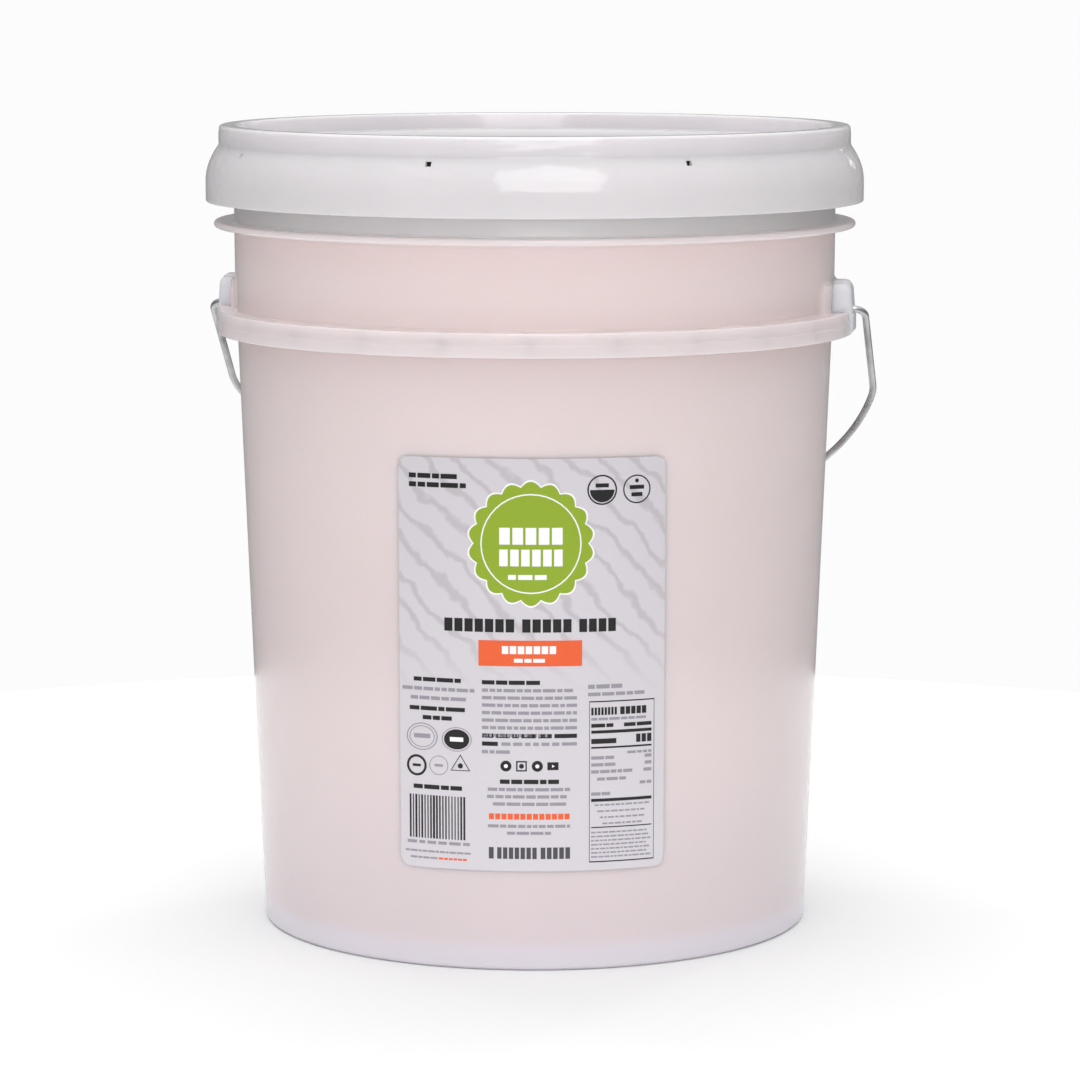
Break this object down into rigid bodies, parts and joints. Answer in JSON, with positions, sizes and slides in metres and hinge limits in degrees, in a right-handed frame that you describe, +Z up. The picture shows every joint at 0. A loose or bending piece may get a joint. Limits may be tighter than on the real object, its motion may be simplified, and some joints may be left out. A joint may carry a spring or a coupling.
{
  "type": "syrup pail",
  "caption": "Round plastic pail of syrup, shut by a press-down lid, with two moulded rings, a wrapped label and a wire bail that swings on two ears.",
  "frame": {"origin": "centre of the foot ring, on the surface that the pail stands on", "axes": "+Z up the pail's axis, X through the two ears and along the bail's pivots, -Y the front with the label"},
  "size_m": [0.317, 0.312, 0.377],
  "materials": {
    "pail_plastic": "natural polyethylene, tinted by the syrup behind it",
    "lid_plastic": "white polyethylene, moulded smooth",
    "label_film": "printed film label, satin",
    "bail_wire": "zinc-plated drawn wire",
    "grip_plastic": "white polyethylene"
  },
  "bodies": {
    "pail_body": {"pail": "pail_plastic", "lid": "lid_plastic", "label": "label_film"},
    "bail_loop": {"bail": "bail_wire", "grip": "grip_plastic"}
  },
  "joints": [
    {"name": "bail_hinge", "type": "hinge", "parent": "pail_body", "child": "bail_loop", "pos_m": [0, 0, 0.2916], "axis": [1, 0, 0], "range_deg": [0, 258]}
  ]
}
